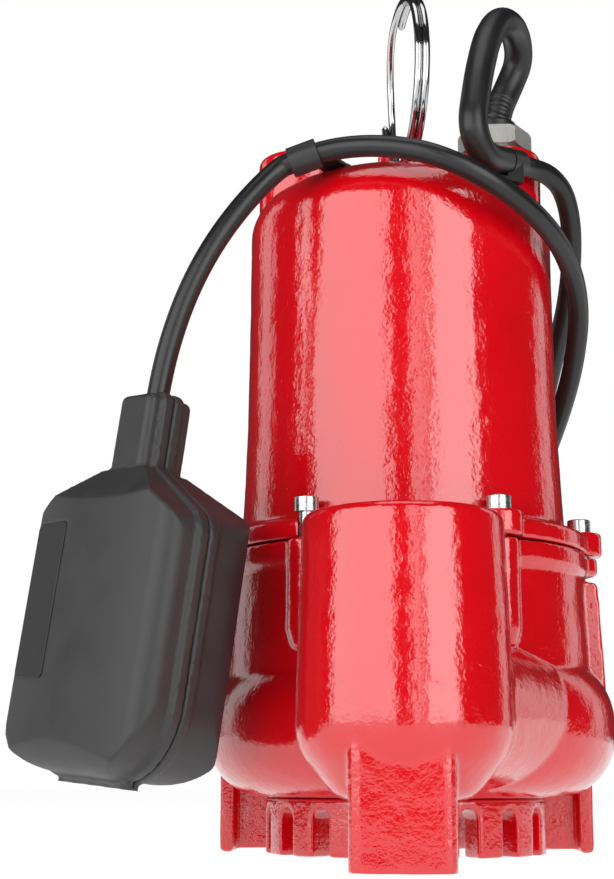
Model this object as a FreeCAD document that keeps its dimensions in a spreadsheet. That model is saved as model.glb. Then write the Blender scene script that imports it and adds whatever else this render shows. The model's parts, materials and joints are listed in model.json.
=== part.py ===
import FreeCAD, Part
import math
import os
import Sketcher

# Submersible sump pump. Millimetres. +Z up, the feet stand on z = 0, the shaft
# axis is the Z axis, and the upward discharge boss is towards -Y.

V = FreeCAD.Vector
UP = V(0, 0, 1)
DOC = FreeCAD.newDocument("sump_pump")
SHEET = DOC.addObject("Spreadsheet::Sheet", "dims")

SIZES = {
    # castings
    "seam_height": 126.4, "gasket_thick": 0.6, "flange_rad": 80, "upper_flange_top": 134.8,
    "ear_top": 137.2, "plate_step": 125.9,
    "lower_flange_low": 118.3, "shell_top": 292, "shell_rad": 68, "shell_bore": 62.1,
    "boss_rad": 20, "boss_top": 319.5, "boss_side": 46.5, "boss_back": 20,
    "plate_bore": 67, "bolt_circle": 77, "screw_rad": 3, "wall_top_rad": 78,
    "bulge_ring": 60, "bulge_rad": 87, "bulge_top": 84.5, "bulge_height": 55.5, "bulge_shift": 2,
    "outlet_rad": 28.6,
    "channel_rad": 19, "port_front": 102.5, "port_top": 130, "port_rad": 38,
    "port_thread": 22.1, "port_thread_deep": 20, "port_bore": 20, "eye_rad": 26,
    "leg_width": 38, "leg_front": 139,
    # strainer
    "strainer_rad": 59.5, "strainer_top": 24.5, "strainer_plate": 21.5, "finger_low": 1.4,
    "finger_gap": 8.4, "arch_spring": 16.3, "finger_inner": 46,
    # rotating parts
    "shaft_rad": 8.5, "shaft_low": 34, "shaft_top": 275.5, "thread_rad": 5, "thread_top": 46,
    "rotor_rad": 31, "rotor_low": 163, "rotor_top": 227, "stator_rad": 62,
    "stator_bore": 31.6, "stator_low": 165, "stator_top": 225,
    "bearing_rad": 20, "bearing_wide": 12, "race_rad": 14.25, "ball_rad": 3.3,
    "groove_rad": 3.42, "low_bearing": 128, "high_bearing": 262,
    "impeller_rad": 54, "impeller_low": 36, "impeller_top": 62,
    # seal
    "seal_rad": 17.4, "seal_low": 77, "seal_top": 84,
    # cords
    "cord_rad": 4.7, "sleeve_rad": 6.4, "sleeve_bore": 5.0, "coil_ring": 56.4,
    "coil_half": 9.7, "coil_high": 38.4, "coil_back": 170,
    # gland
    "gland_side": 45.3, "gland_flats": 30, "gland_low": 322, "gland_top": 331,
    "collar_top": 337, "collar_rad": 10.3, "collar_bore": 8,
    # lifting ring
    "ring_rad": 40, "ring_wire": 1.8, "ring_side": 3, "ring_back": 10, "ring_low": 313,
    # float
    "float_neck": 85, "float_wall": 3, "band_out": 1.6, "band_reach": 5, "band_gap": 0.25,
    "neck_bore": 7.3, "grommet_rad": 7.2, "grommet_bore": 4.8,
    
}


def fill_sheet():
    """Write each dimension and its alias in the spreadsheet."""
    for row, (word, number) in enumerate(SIZES.items(), start=1):
        SHEET.set("A%d" % row, word)
        SHEET.set("B%d" % row, str(number))
        SHEET.setAlias("B%d" % row, word)
    DOC.recompute()


def size(word):
    return float(SHEET.get(word))


def computed(label, shape):
    """A sub-part whose shape is worked out from the sheet's sizes."""
    part = DOC.addObject("Part::Feature", label)
    part.Label = label
    part.Shape = shape
    return part


def turned(label, profile):
    """A body of revolution about Z, its corners given as (radius, height) expressions."""
    body = DOC.addObject("PartDesign::Body", label)
    body.Label = label
    sketch = body.newObject("Sketcher::SketchObject", label + "_profile")
    plane = [item for item in body.Origin.OriginFeatures if item.Role == "XZ_Plane"][0]
    sketch.AttachmentSupport = (plane, [""])
    sketch.MapMode = "FlatFace"
    corners = [
        V(float(SHEET.evalExpression(across)), float(SHEET.evalExpression(height)), 0)
        for across, height in profile
    ]
    count = len(corners)
    for index in range(count):
        sketch.addGeometry(Part.LineSegment(corners[index], corners[(index + 1) % count]))
    for index in range(count):
        sketch.addConstraint(
            Sketcher.Constraint("Coincident", index, 2, (index + 1) % count, 1)
        )
    for index, (across, height) in enumerate(profile):
        if corners[index].x > 1e-6:
            place = sketch.addConstraint(
                Sketcher.Constraint("DistanceX", -1, 1, index, 1, corners[index].x)
            )
            sketch.setExpression("Constraints[%d]" % place, across)
        else:
            sketch.addConstraint(Sketcher.Constraint("PointOnObject", index, 1, -2))
        place = sketch.addConstraint(
            Sketcher.Constraint("DistanceY", -1, 1, index, 1, corners[index].y)
        )
        sketch.setExpression("Constraints[%d]" % place, height)
    spin = body.newObject("PartDesign::Revolution", label + "_turn")
    spin.Profile = sketch
    spin.ReferenceAxis = (sketch, ["V_Axis"])
    spin.Angle = 360
    body.Tip = spin
    return body


def rod(radius, low, high, x=0, y=0):
    return Part.makeCylinder(radius, high - low, V(x, y, low), UP)


def rod_between(radius, start, end):
    return Part.makeCylinder(radius, (end - start).Length, start, end - start)


def block(x0, x1, y0, y1, z0, z1):
    return Part.makeBox(x1 - x0, y1 - y0, z1 - z0, V(x0, y0, z0))


def around(angle, radius, height=0):
    """A point at an angle from the front (-Y), turning towards +X."""
    turn = math.radians(angle)
    return V(radius * math.sin(turn), -radius * math.cos(turn), height)


def rounded_edges(points, radii, closed):
    """Lines joined by tangent arcs of the given radii at the points."""
    count = len(points)
    spans = []
    for index in range(count):
        here = points[index]
        radius = radii[index]
        if not radius:
            spans.append((here, None, here))
            continue
        back = (points[index - 1] - here).normalize()
        ahead = (points[(index + 1) % count] - here).normalize()
        half = back.getAngle(ahead) / 2
        reach = radius / math.tan(half)
        middle = (back + ahead).normalize()
        bend = here + middle * (radius / math.sin(half) - radius)
        spans.append((here + back * reach, bend, here + ahead * reach))
    edges = []
    for index in range(count if closed else count - 1):
        start, bend, end = spans[index]
        if bend is not None:
            edges.append(Part.Arc(start, bend, end).toShape())
        follow = spans[(index + 1) % count][0]
        if end.distanceToPoint(follow) > 1e-6:
            edges.append(Part.LineSegment(end, follow).toShape())
    return edges


def lathe(profile, centre=V(0, 0, 0)):
    """Turn a closed (radius, height[, rounding]) profile about a vertical axis."""
    points = [V(corner[0], 0, corner[1]) for corner in profile]
    radii = [corner[2] if len(corner) > 2 else 0 for corner in profile]
    face = Part.Face(Part.Wire(rounded_edges(points, radii, True)))
    solid = face.revolve(V(0, 0, 0), UP, 360)
    solid.translate(centre)
    return solid


def cord_wire(label, points):
    """Straight runs joined by arcs as large as the runs allow."""
    radii = [0]
    for index in range(1, len(points) - 1):
        before = points[index] - points[index - 1]
        after = points[index + 1] - points[index]
        turn = before.getAngle(after)
        radii.append(0.45 * min(before.Length, after.Length) / math.tan(turn / 2))
    radii.append(0)
    print(label, "bend radii", [round(radius) for radius in radii[1:-1]])
    return Part.Wire(rounded_edges(points, radii, False))


def tube(path, radius):
    """A round section swept along a path."""
    start = path.Edges[0].Vertexes[0].Point
    way = path.Edges[0].tangentAt(path.Edges[0].FirstParameter)
    ring = Part.Wire(Part.makeCircle(radius, start, way))
    solid = path.makePipeShell([ring], True, False)
    print("tube volume", round(solid.Volume / (math.pi * radius**2 * path.Length), 4))
    return solid


def bolt_angles():
    return [30, 90, 150, 210, 270, 330]


def make_volute_casing():
    """Lower casting: spiral bulge, upward discharge boss, flange, legs and ribs."""
    seam = size("seam_height") - size("gasket_thick") / 2
    low = size("lower_flange_low")
    flange = size("flange_rad")
    wall = size("wall_top_rad")
    bottom = size("strainer_top")
    solid = lathe([
        (0, bottom), (62, bottom), (62, 58), (79.5, 68), (79.2, 85), (wall, 108),
        (wall, low - 2, 2), (flange, low), (flange, seam), (0, seam),
    ])
    shift = size("bulge_shift")
    height = size("bulge_height")
    bulge_rad = size("bulge_rad")
    bulge_top = size("bulge_top")
    bulge = lathe([
        (30, bottom), (bulge_rad, bottom, 26), (bulge_rad, bulge_top, 29), (30, bulge_top),
    ], V(shift, 0, 0))
    port = V(0, -size("port_front"), 0)
    boss_rad = size("port_rad")
    boss = lathe([
        (0, bottom), (25, bottom, 9), (41, 44, 22), (boss_rad, size("port_top"), 3.5),
        (0, size("port_top")),
    ], port)
    boss = boss.cut(rod(flange + 1.2, seam, 140))
    start = V(61, -4, height + 0.5)
    end = V(15, -94, height + 2)
    outlet = rod_between(size("outlet_rad"), start, end)
    outlet = outlet.fuse(Part.makeSphere(size("outlet_rad"), end))
    pieces = [bulge, boss, outlet]
    circle = size("bolt_circle")
    for angle in bolt_angles():
        place = around(angle, circle - 1)
        if angle in (30, 330):
            lug = [(0, 82), (6, 82, 3), (8.3, 90, 3), (8.3, seam), (0, seam)]
        else:
            lug = [(0, low), (8.3, low, 1), (8.3, seam), (0, seam)]
        pieces.append(lathe(lug, place))
    for side in (-1, 1):
        pieces.append(make_side_rib(side))
        pieces.append(make_rear_leg(side))
    half = size("leg_width") / 2
    front = -size("leg_front")
    leg = block(-half - 1, half - 1, front, front + 19, 0, 62)
    upright = [edge for edge in leg.Edges if abs(edge.tangentAt(edge.FirstParameter).z) > 0.9]
    pieces.append(leg.makeFillet(4, upright))
    solid = solid.multiFuse(pieces)
    hollow = [
        rod(size("plate_bore"), 76, 140),
        rod(57.5, 34, 80),
        Part.makeTorus(size("bulge_ring"), size("channel_rad"), V(shift, 0, height + 1)),
        rod_between(size("channel_rad"), start, end),
        Part.makeSphere(size("port_bore"), V(0, port.y, 52)),
        rod(size("port_bore"), 52, 140, 0, port.y),
        rod(size("port_thread"), size("port_top") - size("port_thread_deep"), 140, 0, port.y),
        rod(size("eye_rad"), 20, 40),
        rod(61.5, 0, bottom),
    ]
    for angle in bolt_angles():
        place = around(angle, circle)
        hollow.append(rod(size("screw_rad") + 0.05, 106, 140, place.x, place.y))
    for angle in (45, 135, 225, 315):
        place = around(angle, 40)
        hollow.append(rod(2.05, 20, 33, place.x, place.y))
    return solid.cut(hollow)


def make_side_rib(side):
    """Upright web beside the volute, its outer edge leaning out towards the foot."""
    outline = [V(70, 9, 55), V(88.3, 9, 60), V(85.6, 9, 117.4), V(70, 9, 117.4)]
    rib = Part.Face(Part.Wire(rounded_edges(outline, [0, 4, 2.5, 0], True))).extrude(V(0, 10, 0))
    return rib if side > 0 else rib.mirror(V(0, 0, 0), V(1, 0, 0))


def make_rear_leg(side):
    """Foot behind the volute: an outer pad with a thinner web back to the casting."""
    pad = block(77, 83.5, 37, 53, 0, 46)
    pad = pad.makeFillet(2, [edge for edge in pad.Edges if edge.BoundBox.ZMax < 0.1])
    web = block(60, 78, 43, 50, 1.5, 46)
    leg = pad.fuse(web)
    return leg if side > 0 else leg.mirror(V(0, 0, 0), V(1, 0, 0))


def make_motor_housing():
    """Upper casting: motor shell, bolted flange, two top bosses and a lifting lug."""
    seam = size("seam_height") + size("gasket_thick") / 2
    flange = size("flange_rad")
    top = size("shell_top")
    rad = size("shell_rad")
    ears = size("ear_top")
    solid = lathe([
        (0, seam), (flange, seam), (flange, size("upper_flange_top"), 2.5),
        (rad + 2.4, size("upper_flange_top") + 1.7, 3), (rad + 0.4, 185), (rad - 0.2, 240), (rad - 0.4, top, 21),
        (0, top),
    ])
    pieces = []
    for angle in bolt_angles():
        place = around(angle, size("bolt_circle"))
        pieces.append(lathe([(0, seam), (9.6, seam), (9.6, ears, 1.2), (0, ears)], place))
        inner = around(angle, 66)
        middle = V(0, 0, ears - 8.3)
        pieces.append(rod_between(8, inner + middle, place + middle).common(rod(90, seam, ears)))
    boss = size("boss_rad")
    for side in (-1, 1):
        place = V(side * size("boss_side"), size("boss_back"), 0)
        pieces.append(lathe([
            (0, 262), (12, 262), (boss - 0.6, 276), (boss, size("boss_top"), 3),
            (0, size("boss_top")),
        ], place))
    middle = size("ring_side") - 1
    back = size("ring_back")
    pieces.append(block(middle - 12, middle + 12, back - 5, back + 5, 285, 314))
    pieces.append(Part.makeCylinder(12, 10, V(middle, back - 5, 314), V(0, 1, 0)))
    pieces.append(block(middle - 17, middle + 17, back - 8, back + 8, 288, 295))
    solid = solid.multiFuse(pieces)
    bore = size("shell_bore")
    hollow = [
        lathe([(0, 120), (bore, 120), (bore, 262, 8), (53, 281, 6), (26, 281), (26, 262), (0, 262)]),
        rod(size("bearing_rad") + 0.05, 255, size("high_bearing") + 14),
        Part.makeCylinder(6.2, 40, V(middle, back - 20, 314), V(0, 1, 0)),
    ]
    for angle in bolt_angles():
        place = around(angle, size("bolt_circle"))
        hollow.append(rod(size("screw_rad") + 0.3, 120, 150, place.x, place.y))
    gland = size("gland_side")
    hollow.append(rod(9.05, 300, 330, gland, size("boss_back")))
    hollow.append(rod(6.5, 270, 305, gland, size("boss_back")))
    hollow.append(rod(9.05, 304, 330, -size("boss_side"), size("boss_back")))
    hollow.append(rod(4, 270, 310, -size("boss_side"), size("boss_back")))
    place = V(-24.5, -36.5, 0)
    hollow.append(rod(2.05, 283.5, 300, place.x, place.y))
    place = V(29, -33, 0)
    hollow.append(rod(2.05, 283.5, 300, place.x, place.y))
    return solid.cut(hollow)


def make_strainer():
    """Round suction plate with a ring of fingers and arched gaps below it."""
    rad = size("strainer_rad")
    low = size("finger_low")
    solid = rod(rad, low, size("strainer_top"))
    cuts = [
        rod(size("finger_inner"), 0, size("strainer_plate")),
        rod(size("eye_rad"), 0, 30),
        rod(11, 0, 30),
    ]
    half = size("finger_gap") / 2
    for step in range(18):
        angle = 20 * step + 5
        middle = around(angle, 52, 0)
        spring = size("arch_spring")
        slot = block(-half, half, -12, 12, 0, spring)
        slot = slot.fuse(Part.makeCylinder(half, 24, V(0, -12, spring), V(0, 1, 0)))
        slot.rotate(V(0, 0, 0), UP, angle)
        slot.translate(middle)
        cuts.append(slot)
    for angle in (45, 135, 225, 315):
        place = around(angle, 40)
        cuts.append(rod(2.3, 0, 30, place.x, place.y))
    return solid.cut(cuts)


def ring_of(make, angles):
    """Separate copies of one solid at several angles about the shaft."""
    copies = []
    for angle in angles:
        copy = make()
        copy.rotate(V(0, 0, 0), UP, angle)
        copies.append(copy)
    return Part.makeCompound(copies)


def cap_screw():
    """Socket-head screw standing in the flange at the front."""
    place = around(0, size("bolt_circle"))
    low = size("ear_top")
    head = lathe([(0, low), (5, low), (5, low + 6, 0.6), (0, low + 6)], place)
    shank = rod(size("screw_rad"), size("lower_flange_low") - 0.5, low + 0.5, place.x, place.y)
    socket = Part.Face(Part.makePolygon([
        place + V(2.9 * math.cos(math.radians(60 * k)), 2.9 * math.sin(math.radians(60 * k)), low + 3)
        for k in range(7)
    ])).extrude(V(0, 0, 5))
    return head.fuse(shank).cut(socket)


def plate_screw():
    """Flat screw that holds the strainer up to the casing."""
    place = around(0, 40)
    seat = size("strainer_plate")
    head = rod(4, seat - 2.6, seat, place.x, place.y)
    head = head.cut(rod(1.6, seat - 3, seat - 1.4, place.x, place.y))
    return head.fuse(rod(2, seat - 1.2, 32.5, place.x, place.y))


def make_seal_plate():
    """Bracket between the castings: closes the volute and carries seal and bearing."""
    out = size("plate_bore") - 0.1
    step = size("plate_step")
    seat = size("bearing_rad") + 0.05
    solid = lathe([
        (12, 70), (24, 70), (24, 76), (out, 76.05), (out, 90), (64, 91), (64, 97), (out, 98),
        (out, step), (61.5, step), (61.5, 132), (26, 132), (26, 140), (seat, 140), (seat, 128),
        (14, 128), (14, 120), (58, 120), (58, 86), (22, 86), (22, 90), (17.5, 90), (17.5, 77),
        (12, 77),
    ])
    holes = []
    for angle in range(0, 360, 60):
        place = around(angle, 42)
        holes.append(rod(5, 115, 140, place.x, place.y))
    return solid.cut(holes)


def make_stator_core():
    """Laminated ring with winding slots open to the bore."""
    solid = rod(size("stator_rad"), size("stator_low"), size("stator_top"))
    cuts = [rod(size("stator_bore"), 150, 240)]
    for step in range(24):
        slot = block(-2.6, 2.6, -49, -36, 150, 240).fuse(block(-1.1, 1.1, -37, -30, 150, 240))
        slot.rotate(V(0, 0, 0), UP, 15 * step)
        cuts.append(slot)
    return solid.cut(cuts)


def make_windings():
    """Upper and lower end turns joined by bars through the slots."""
    low = size("stator_low") - 0.2
    top = size("stator_top") + 0.2
    below = lathe([(36, low - 20, 6), (52, low - 20, 6), (54, low, 2), (35.5, low, 2)])
    above = lathe([(35.5, top, 2), (54, top, 2), (52, top + 18, 6), (36, top + 18, 6)])
    bars = []
    for step in range(24):
        bar = block(-2.2, 2.2, -48.4, -36.8, low - 4, top + 4)
        bar.rotate(V(0, 0, 0), UP, 15 * step)
        bars.append(bar)
    return below.multiFuse([above] + bars)


def make_balls(low):
    """Eight loose balls half way up a bearing."""
    height = low + size("bearing_wide") / 2
    pitch = size("race_rad")
    return Part.makeCompound([
        Part.makeSphere(size("ball_rad"), around(45 * k, pitch, height)) for k in range(8)
    ])


def make_cage(low):
    """Ring with a round pocket for each ball."""
    height = low + size("bearing_wide") / 2
    pitch = size("race_rad")
    ring = rod(pitch + 1.1, height - 4.4, height + 4.4).cut(rod(pitch - 1.1, 0, 300))
    pockets = []
    for k in range(8):
        way = around(45 * k, 1)
        pockets.append(Part.makeCylinder(size("ball_rad") + 0.2, 20, V(0, 0, height), way))
    return ring.cut(pockets)


def make_race(low, inner, outer):
    """A bearing ring with its ball groove."""
    height = low + size("bearing_wide") / 2
    blank = rod(outer, low, low + size("bearing_wide")).cut(rod(inner, low - 1, low + 20))
    groove = Part.makeTorus(size("race_rad"), size("groove_rad"), V(0, 0, height))
    return blank.cut(groove)


def make_impeller():
    """Semi-open impeller: back shroud, hub and six curved vanes on its eye side."""
    rad = size("impeller_rad")
    low = size("impeller_low")
    top = size("impeller_top")
    body = lathe([
        (8.6, low + 9), (13, low + 9), (16, top - 5), (rad, top - 4), (rad, top), (16, top),
        (16, top + 4, 1), (8.6, top + 4),
    ])
    vanes = []
    for step in range(6):
        bow = rod(34, low, top - 2, 26, 10).cut(rod(30, low - 1, top, 26, 10))
        bow = bow.common(rod(rad - 0.5, low, top).cut(rod(14.5, low - 1, top + 1)))
        bow = bow.common(block(0, 60, -60, 0, low, top))
        bow.rotate(V(0, 0, 0), UP, 60 * step)
        vanes.append(bow)
    return body.multiFuse(vanes)


def make_handle_ring():
    """Split ring for lifting: two turns of round wire lying side by side."""
    wire = size("ring_wire")
    rad = size("ring_rad")
    turns = [
        Part.makeTorus(rad, wire, V(0, 0, 0), UP).translated(V(0, 0, side * (wire - 0.05)))
        for side in (-1, 1)
    ]
    return turns[0].fuse(turns[1])


def hexagon(flats, low, high, x, y, turn=0):
    reach = flats / math.sqrt(3)
    corners = [
        V(x + reach * math.cos(math.radians(60 * k + turn)),
          y + reach * math.sin(math.radians(60 * k + turn)), low)
        for k in range(7)
    ]
    return Part.Face(Part.makePolygon(corners)).extrude(V(0, 0, high - low))


def make_gland_nut():
    """Hexagonal cord nut with its corners turned off."""
    low = size("gland_low")
    top = size("gland_top")
    x = size("gland_side")
    y = size("boss_back")
    nut = hexagon(size("gland_flats"), low, top, x, y)
    cone = lathe([(0, low), (16.2, low), (17.4, low + 1.2), (17.4, top - 1.2), (16.2, top), (0, top)],
                 V(x, y, 0))
    return nut.common(cone).cut(rod(9.05, low - 1, top + 1, x, y))


def make_gland_body():
    """Threaded neck that the nut clamps, with its grommet bore."""
    x = size("gland_side")
    y = size("boss_back")
    low = size("gland_low")
    solid = rod(9, 303, size("gland_top") - 0.5, x, y)
    solid = solid.fuse(rod(12.5, size("boss_top"), low, x, y))
    return solid.cut(rod(5.9, 300, 340, x, y))


def make_gland_collar():
    """Rubber collar round the cord above the nut."""
    x = size("gland_side")
    y = size("boss_back")
    rad = size("collar_rad")
    top = size("collar_top")
    low = size("gland_top")
    bore = size("collar_bore")
    return lathe([
        (bore, low), (rad, low), (rad, top - 1, 1), (bore + 1, top, 0.4), (bore, top),
    ], V(x, y, 0))


def make_oil_plug():
    """Filling plug with a hexagon socket, nearly flush in the left boss."""
    x = -size("boss_side")
    y = size("boss_back")
    top = size("boss_top")
    plug = rod(9, 306, top, x, y).fuse(rod(12, top, top + 2.2, x, y))
    return plug.cut(hexagon(8, top - 4, top + 5, x, y))


SLEEVED = [
    V(45.3, 20, 333), V(47.6, 22.5, 345.5), V(53.2, 26, 358.5), V(58.6, 23, 371),
    V(55.5, 9, 380), V(47.5, -9, 377), V(40.5, -26, 360.5), V(36, -39, 339),
    V(33.5, -45.5, 323), V(31.7, -50, 310), V(33.6, -46.6, 301.7), V(37.6, -39.4, 297.6),
    V(46, -24, 301.5),
]
BARE = [
    V(58.4, -4.5, 306), V(69.5, 3.5, 305), V(77.5, 14, 299), V(81.5, 27, 282), V(80, 42, 256),
    V(73.5, 59, 230), V(67, 76, 202), V(66, 92, 170), V(70, 106, 138), V(75, 121, 105),
    V(77, 136, 77), V(73, 150, 57), V(65, 165, 45.5),
]
RUN = [
    V(-45.8, -64.5, 286.6), V(-29, -66.5, 292), V(-7, -73.5, 290.5), V(16, -79, 284),
    V(40.5, -73, 272.5), V(59.5, -53, 264.5), V(73.5, -26, 255.5), V(81, 1, 241),
    V(79.5, 18, 219.5), V(74.5, 36, 200), V(66, 57, 178), V(63, 76, 153), V(68, 92, 124),
    V(76, 107, 93), V(82, 119, 64), V(81.5, 132, 38), V(75.5, 148, 17), V(65.5, 163, 5.6),
]
POWER_TAIL = [V(-9, 225.5, 72), V(-36, 218.5, 76), V(-55, 206, 87.5), V(-56, 190.5, 89.1)]
FLOAT_TAIL = [
    V(16, 221.6, 4.9), V(-7, 221.5, 5.4), V(-23, 212, 8.5), V(-25, 197, 11.5), V(-19.5, 188.5, 12.2),
]
TETHER = [
    V(-51, -64, 284.5), V(-64.5, -70.5, 267.5), V(-77, -74.5, 248), V(-87, -75.3, 227.5),
    V(-94, -75.6, 206), V(-98, -75.4, 187), V(-100, -75.8, 172),
]


FLOAT_PLUG_TURN = math.radians(-57)
CLIP_RIGHT = V(50.3, -17.2, 303.1)
CLIP_RIGHT_LONG = 12.5


def make_clip(centre, way, screw, length):
    """Wide cord clip: a band round the cord and a tab screwed down to the casting."""
    along = V(way)
    along.normalize()
    start = centre - along * (length / 2)
    band = Part.makeCylinder(6.4, length, start, along)
    foot = V(screw.x, screw.y, size("shell_top"))
    reach = V(centre.x - foot.x, centre.y - foot.y, 0)
    turn = math.degrees(math.atan2(reach.y, reach.x))
    rise = centre.z - foot.z
    tab = block(-6, 12, -6, 6, 0, 1.4)
    arm = Part.makeBox(reach.Length - 9, 12, 1.4, V(10, -6, 0))
    tab = tab.fuse(arm)
    if rise > 3:
        tab = tab.fuse(block(reach.Length - 7, reach.Length + 2, -6, 6, 0, rise))
    tab.rotate(V(0, 0, 0), UP, turn)
    tab.translate(foot)
    solid = band.fuse(tab)
    cord = Part.makeCylinder(4.9, length * 4, centre - along * length * 2, along)
    return solid.cut([cord, rod(2.2, 280, 320, screw.x, screw.y)])


def clip_screw(screw):
    """Pan-head screw through a clip's tab."""
    low = size("shell_top") + 1.4
    head = lathe([(0, low), (4, low), (4, low + 2.6, 1.2), (0, low + 2.6)], V(screw.x, screw.y, 0))
    return head.fuse(rod(2, 284.5, low + 0.2, screw.x, screw.y))


def make_coil(level):
    """Outer shape of a put-away coil: a closed ring lying flat."""
    ring = size("coil_ring")
    half = size("coil_half")
    top = level + size("coil_high")
    return lathe([
        (ring - half, level, 4.5), (ring + half, level, 4.5),
        (ring + half, top, 4.5), (ring - half, top, 4.5),
    ], V(0, size("coil_back"), 0))


def make_plug(place, way, piggyback):
    """Moulded three-pin plug body, pins towards the given direction."""
    body = Part.makeBox(27, 26, 24, V(0, -13, 0))
    body = body.makeFillet(4, [e for e in body.Edges if abs(e.tangentAt(e.FirstParameter).x) > 0.9])
    tail = Part.makeCone(5.4, 7.5, 13, V(-12.5, 0, 12), V(1, 0, 0))
    body = body.fuse(tail)
    if piggyback:
        body = body.fuse(Part.makeBox(8, 22, 20, V(15, -11, 3)))
    body.rotate(V(0, 0, 0), UP, way)
    body.translate(place)
    return body


def make_blades(place, way):
    """Two flat pins and a round earth pin."""
    left = Part.makeBox(16, 1.5, 6.5, V(27, -7.1, 12))
    right = Part.makeBox(16, 1.5, 6.5, V(27, 5.6, 12))
    earth = Part.makeCylinder(2.4, 18, V(27, 0, 6), V(1, 0, 0))
    pins = Part.makeCompound([left, right, earth])
    pins.rotate(V(0, 0, 0), UP, way)
    pins.translate(place)
    return pins


# --- float switch, in its own frame: x across, -y out of the marked face, z up ---

BODY_FRONT = [(-13, 54), (13, 54), (45, 33), (45, -66), (-45, -66), (-45, 33)]
BODY_FRONT_ROUNDS = [4, 4, 12, 30, 30, 12]
BODY_SIDE = [(-11, 54), (11, 54), (28, 38), (28, -66), (-24.5, -66), (-24.5, 37)]
BODY_SIDE_ROUNDS = [3, 3, 9, 14, 18, 8]
BODY_PLAN = [(-45, 28), (45, 28), (45, -18), (0, -26.5), (-45, -18)]
BODY_PLAN_ROUNDS = [14, 14, 9, 180, 9]
BAND_FRONT = [
    (-10.5, 85), (10.5, 85), (10.5, 55), (45, 33), (45, -66), (-45, -66), (-45, 33), (-10.5, 55),
]
BAND_ROUNDS = [3, 3, 4, 12, 30, 30, 12, 4]


def inset(outline, rounds, amount):
    """A clockwise outline and its corner roundings, every side moved inwards."""
    points = []
    radii = []
    count = len(outline)
    for index in range(count):
        before = V(*outline[index - 1], 0)
        here = V(*outline[index], 0)
        after = V(*outline[(index + 1) % count], 0)
        into = (here - before).normalize()
        out = (after - here).normalize()
        first = V(into.y, -into.x, 0)
        second = V(out.y, -out.x, 0)
        middle = first + second
        shift = middle * (amount / (1 + first.dot(second)))
        points.append((here.x + shift.x, here.y + shift.y))
        inward = into.cross(out).z < 0
        radii.append(max(rounds[index] - (amount if inward else -amount), 1))
    return points, radii


def outline_face(outline, rounds, amount, place):
    """Rounded face of an outline, each corner put in space by the given function."""
    points, radii = inset(outline, rounds, amount)
    corners = [place(first, second) for first, second in points]
    return Part.Face(Part.Wire(rounded_edges(corners, radii, True)))


def float_body(amount):
    """The float without its neck: its front, side and top outlines cut through each other."""
    front = outline_face(BODY_FRONT, BODY_FRONT_ROUNDS, amount, lambda x, z: V(x, -60, z))
    side = outline_face(BODY_SIDE, BODY_SIDE_ROUNDS, amount, lambda y, z: V(-60, y, z))
    plan = outline_face(BODY_PLAN, BODY_PLAN_ROUNDS, amount, lambda x, y: V(x, y, -90))
    solid = front.extrude(V(0, 120, 0)).common(side.extrude(V(120, 0, 0)))
    return solid.common(plan.extrude(V(0, 0, 180)))


def seam_band(near, far):
    """Raised rim that follows the seam, between two depths."""
    low, high = sorted((near, far))
    grow = -size("band_out")
    rim = outline_face(BAND_FRONT, BAND_ROUNDS, grow, lambda x, z: V(x, low, z))
    return rim.extrude(V(0, high - low, 0))


def make_float_shell(side):
    """Half shell, hollow, with its half of the raised seam and of the square neck."""
    neck = Part.makeBox(21, 22, 30, V(-10.5, -11, size("float_neck") - 30))
    rounded = [edge for edge in neck.Edges if edge.BoundBox.ZMax > size("float_neck") - 1]
    outer = float_body(0).fuse(neck.makeFillet(3, rounded))
    half = block(-60, 60, 0, 60, -90, 100) if side > 0 else block(-60, 60, -60, 0, -90, 100)
    gap = size("band_gap")
    rims = [seam_band(side * gap, side * size("band_reach"))]
    rims.append(block(-22, 24, *sorted((side * gap, side * 2.6)), -69.2, -60))
    solid = outer.common(half).multiFuse(rims)
    cuts = [float_body(size("float_wall")), rod(size("neck_bore"), 50, 95)]
    if side < 0:
        panel = block(-12.5, 12.5, -10, 0, -32, 31)
        panel.rotate(V(0, 0, 0), UP, -8.8)
        panel.translate(V(-27.5, -20.4, 0))
        cuts.append(panel)
    return solid.cut(cuts)


def float_placement():
    """Where the hanging float sits: its long axis leans a little to the right."""
    axis = V(0.131, 0.03, 0.991).normalize()
    across = V(0.731, -0.682, 0)
    across = (across - axis * across.dot(axis)).normalize()
    depth = axis.cross(across)
    centre = V(-98.0, -75.4, 186) - axis * 89
    matrix = FreeCAD.Matrix(
        across.x, depth.x, axis.x, centre.x,
        across.y, depth.y, axis.y, centre.y,
        across.z, depth.z, axis.z, centre.z,
        0, 0, 0, 1,
    )
    return FreeCAD.Placement(matrix)


def build_castings():
    computed("volute_casing", make_volute_casing())
    computed("motor_housing", make_motor_housing())
    computed("suction_strainer", make_strainer())
    computed("strainer_screws", ring_of(plate_screw, (45, 135, 225, 315)))
    computed("flange_screws", ring_of(cap_screw, bolt_angles()))
    computed("seal_plate", make_seal_plate())
    low = "dims.seam_height - dims.gasket_thick / 2"
    high = "dims.seam_height + dims.gasket_thick / 2"
    inner = "dims.plate_bore + 0.3"
    outer = "dims.bolt_circle - dims.screw_rad - 0.6"
    turned("housing_gasket", [(inner, low), (outer, low), (outer, high), (inner, high)])
    turned("seal_plate_ring", [
        ("64.3", "91.6"), ("66.8", "91.6"), ("66.8", "96.4"), ("64.3", "96.4"),
    ])


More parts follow.
